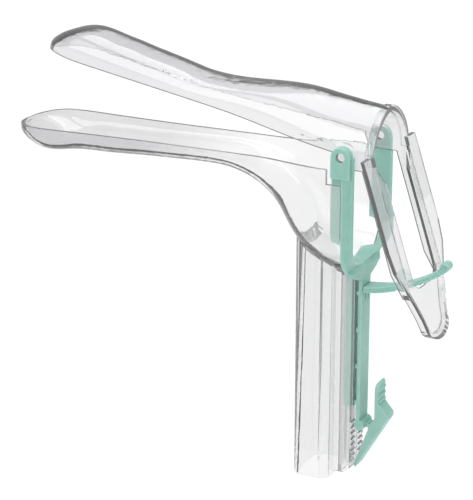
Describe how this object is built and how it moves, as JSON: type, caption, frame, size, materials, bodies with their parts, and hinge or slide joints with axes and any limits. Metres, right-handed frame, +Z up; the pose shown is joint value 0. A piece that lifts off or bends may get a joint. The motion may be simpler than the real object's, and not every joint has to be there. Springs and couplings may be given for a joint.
{
  "type": "bivalve speculum",
  "caption": "Single-use bivalve speculum: two clear trough blades on a pivot, hollow handle, mint slide with latch and rack.",
  "frame": {"origin": "middle of the object's bounding box at its lowest level, the foot of the handle", "axes": "the blades point along -X, the lever and latch are on the +X side, +Z is up along the handle, +Y is along the pivot pins"},
  "size_m": [0.1528, 0.0408, 0.1394],
  "materials": {
    "lower_blade_and_handle": "gloss",
    "upper_blade_and_lever": "gloss",
    "yoke_slide": "gloss",
    "angle_rack": "gloss",
    "release_latch": "gloss"
  },
  "bodies": {
    "base": {"lower_blade_and_handle": "lower_blade_and_handle"},
    "yoke": {"yoke_slide": "yoke_slide"},
    "upper": {"upper_blade_and_lever": "upper_blade_and_lever"},
    "rack": {"angle_rack": "angle_rack"},
    "latch": {"release_latch": "release_latch"}
  },
  "joints": [
    {"name": "yoke_lift", "type": "slide", "parent": "base", "child": "yoke", "axis": [0, 0, 1], "range_m": [0, 0.015]},
    {"name": "blade_tilt", "type": "hinge", "parent": "yoke", "child": "upper", "pos_m": [0.04592, 0, 0.111], "axis": [0, 1, 0], "range_deg": [-11, 15]},
    {"name": "latch_press", "type": "hinge", "parent": "yoke", "child": "latch", "pos_m": [0.05097, 0, 0.0182], "axis": [0, -1, 0], "range_deg": [0, 6], "stiffness_Nm_per_rad": 0.05},
    {"name": "rack_flex", "type": "hinge", "parent": "yoke", "child": "rack", "pos_m": [0.04832, 0, 0.0648], "axis": [0, -1, 0], "range_deg": [0, 3], "stiffness_Nm_per_rad": 0.05}
  ]
}
